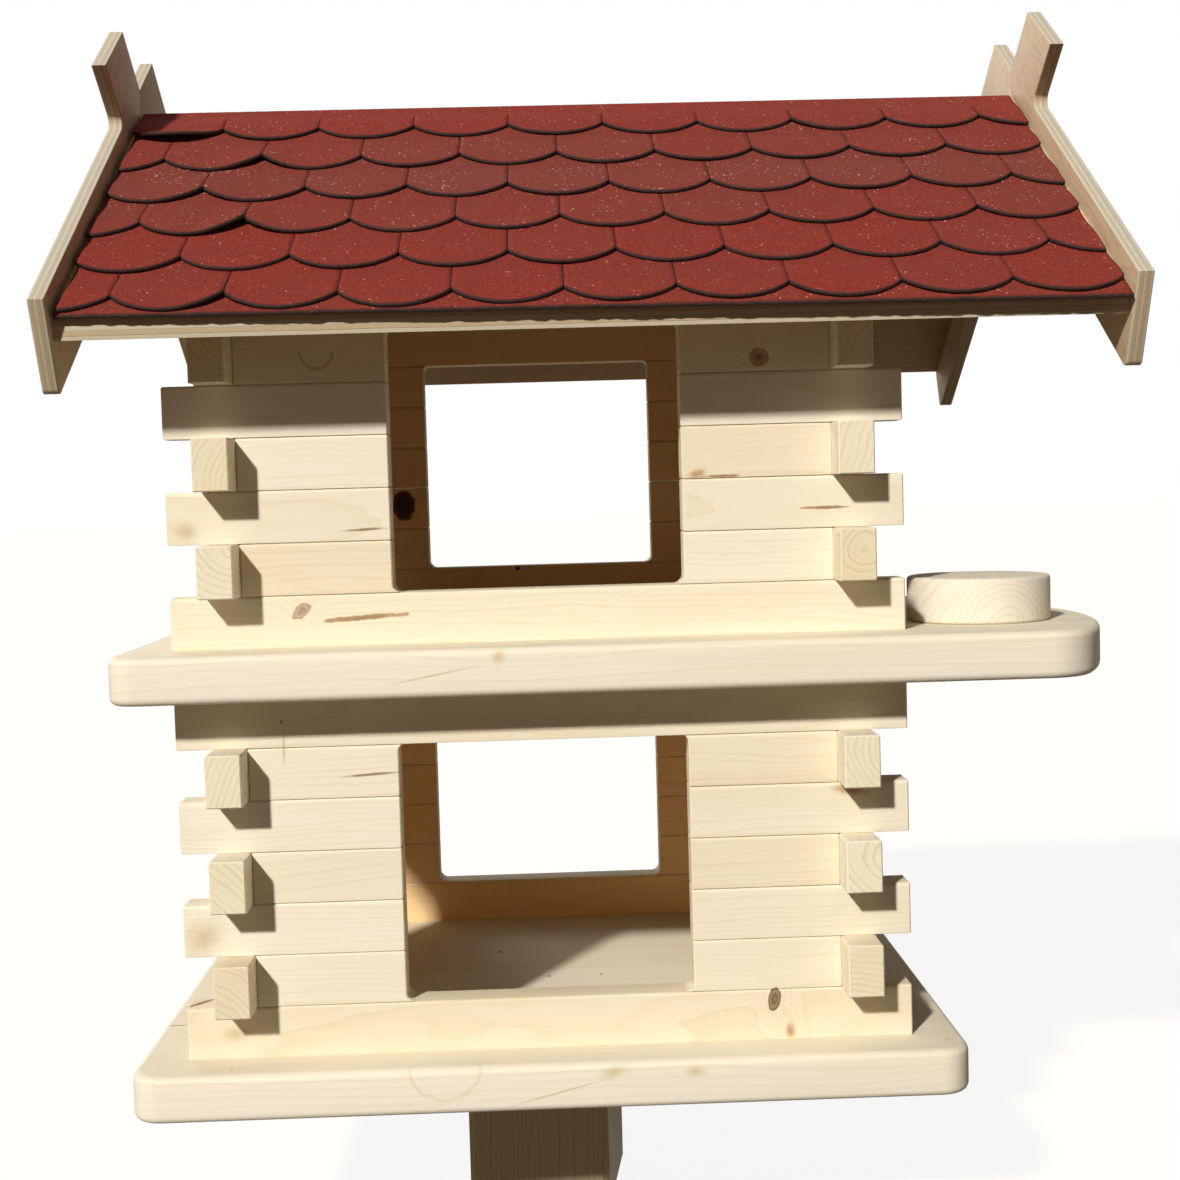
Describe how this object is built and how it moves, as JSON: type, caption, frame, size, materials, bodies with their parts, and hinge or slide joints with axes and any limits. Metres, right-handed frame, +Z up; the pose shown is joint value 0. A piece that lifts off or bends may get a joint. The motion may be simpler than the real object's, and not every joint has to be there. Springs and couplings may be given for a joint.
{
  "type": "bird house",
  "caption": "Two-storey log-cabin bird feeder house with open windows, a side balcony with a round block, and a lift-off shingled gable roof on a post top.",
  "frame": {"origin": "centre of the post's sawn foot, on the ground", "axes": "+Z up, +X to the right seen from the front, towards the balcony's long end, +Y to the back"},
  "size_m": [0.6202, 0.494, 0.7851],
  "materials": {
    "spruce_log": "bare planed spruce, lightly sanded",
    "spruce_board": "bare glued spruce board with rounded edges",
    "batten_wood": "bare planed softwood",
    "plywood": "bare softwood plywood with visible plies on its edges",
    "post_wood": "bare sawn and planed post",
    "shingle": "bitumen shingle with brick-red mineral granules",
    "nail_steel": "bright nail heads"
  },
  "bodies": {
    "house": {"base_plate": "spruce_board", "balcony_plate": "spruce_board", "perch_block": "spruce_board", "post": "post_wood", "lower_front_sill": "spruce_log", "lower_front_lintel": "spruce_log", "lower_rear_sill": "spruce_log", "lower_rear_lintel": "spruce_log", "lower_left_sill": "spruce_log", "lower_left_lintel": "spruce_log", "lower_right_sill": "spruce_log", "lower_right_lintel": "spruce_log", "lower_front_left_logs": "spruce_log", "lower_front_right_logs": "spruce_log", "lower_rear_left_logs": "spruce_log", "lower_rear_right_logs": "spruce_log", "lower_left_front_logs": "spruce_log", "lower_left_rear_logs": "spruce_log", "lower_right_front_logs": "spruce_log", "lower_right_rear_logs": "spruce_log", "upper_front_sill": "spruce_log", "upper_front_lintel": "spruce_log", "upper_rear_sill": "spruce_log", "upper_rear_lintel": "spruce_log", "upper_left_sill": "spruce_log", "upper_left_lintel": "spruce_log", "upper_right_sill": "spruce_log", "upper_right_lintel": "spruce_log", "upper_front_left_logs": "spruce_log", "upper_front_right_logs": "spruce_log", "upper_rear_left_logs": "spruce_log", "upper_rear_right_logs": "spruce_log", "upper_left_front_logs": "spruce_log", "upper_left_rear_logs": "spruce_log", "upper_right_front_logs": "spruce_log", "upper_right_rear_logs": "spruce_log", "lower_corner_dowels": "batten_wood", "upper_corner_dowels": "batten_wood", "post_dowels": "batten_wood", "perch_dowel": "batten_wood"},
    "roof": {"front_roof_panel": "plywood", "rear_roof_panel": "plywood", "left_gable_panel": "plywood", "right_gable_panel": "plywood", "locating_battens": "batten_wood", "left_front_gable_board": "plywood", "left_rear_gable_board": "plywood", "right_front_gable_board": "plywood", "right_rear_gable_board": "plywood", "gable_board_nails": "nail_steel", "starter_strips": "shingle", "shingle_course_1": "shingle", "shingle_course_2": "shingle", "shingle_course_3": "shingle", "shingle_course_4": "shingle", "shingle_course_5": "shingle", "ridge_shingles": "shingle"}
  },
  "joints": [
    {"name": "roof_lift", "type": "slide", "parent": "house", "child": "roof", "axis": [0, 0, 1], "range_m": [0, 0.1]}
  ]
}
